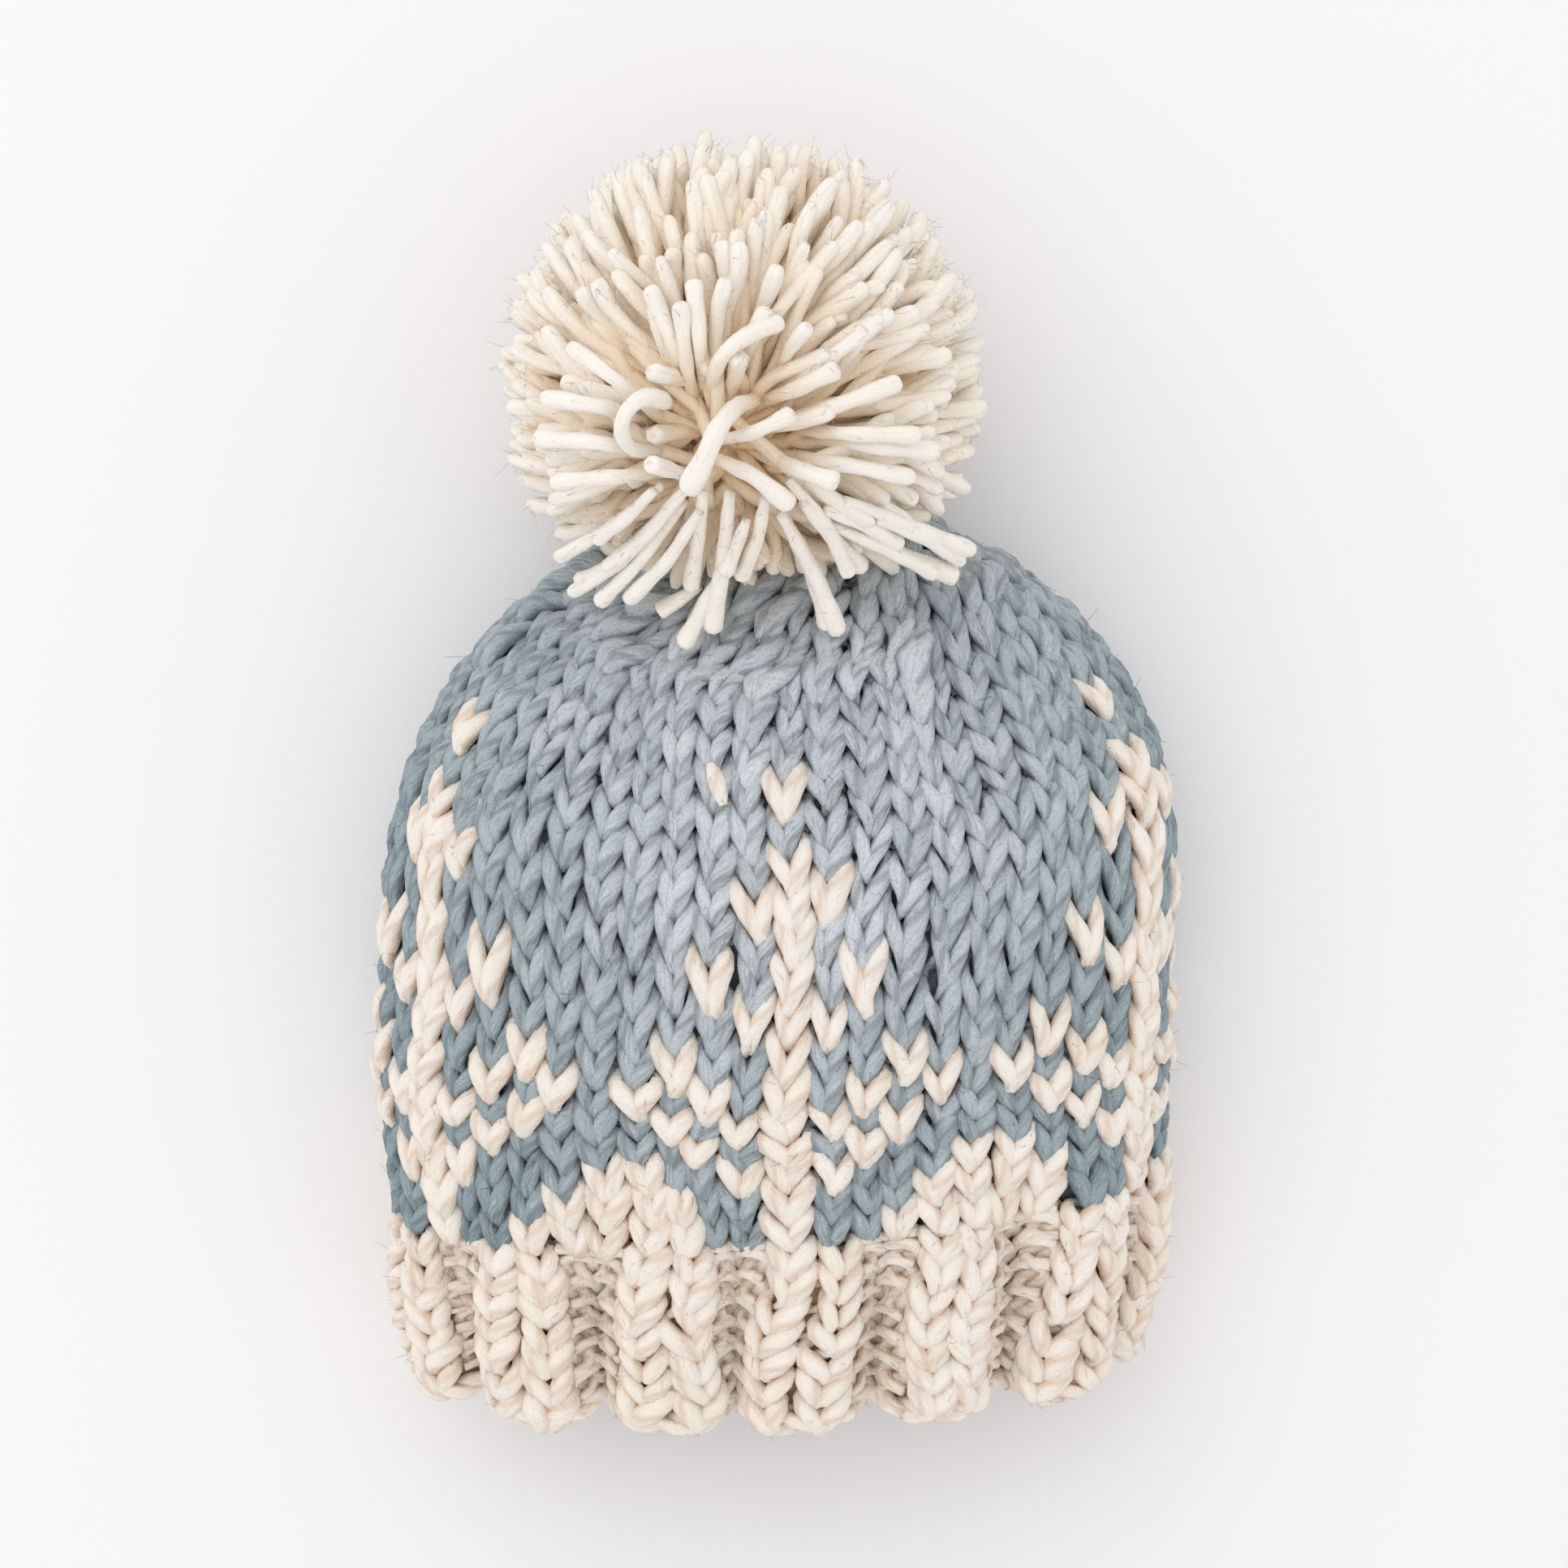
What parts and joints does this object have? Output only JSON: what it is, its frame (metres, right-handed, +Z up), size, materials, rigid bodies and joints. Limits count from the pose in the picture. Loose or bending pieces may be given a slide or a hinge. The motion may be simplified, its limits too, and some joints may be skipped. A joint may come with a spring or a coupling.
{
  "type": "knitted beanie with pompom",
  "caption": "Hollow chunky-knit baby's beanie lying on its back, with a rib brim, a rounded crown and a yarn pompom tied to its tip.",
  "frame": {"origin": "on the table, under the middle of the whole hat's box", "axes": "+Z up out of the hat's front, +Y from the brim towards the pompom, +X to the right of the front"},
  "size_m": [0.165, 0.2568, 0.0944],
  "materials": {
    "crown_knit": "blue-grey bulky wool in stocking stitch with a cream tree pattern",
    "rib_knit": "cream bulky wool in two by two rib",
    "pompom_yarn": "cut ends of cream bulky wool",
    "tie_yarn": "one strand of cream bulky wool"
  },
  "bodies": {
    "root": {"crown_body": "crown_knit", "rib_brim": "rib_knit", "pompom_front": "pompom_yarn", "pompom_back": "pompom_yarn", "pompom_tie": "tie_yarn"}
  },
  "joints": []
}
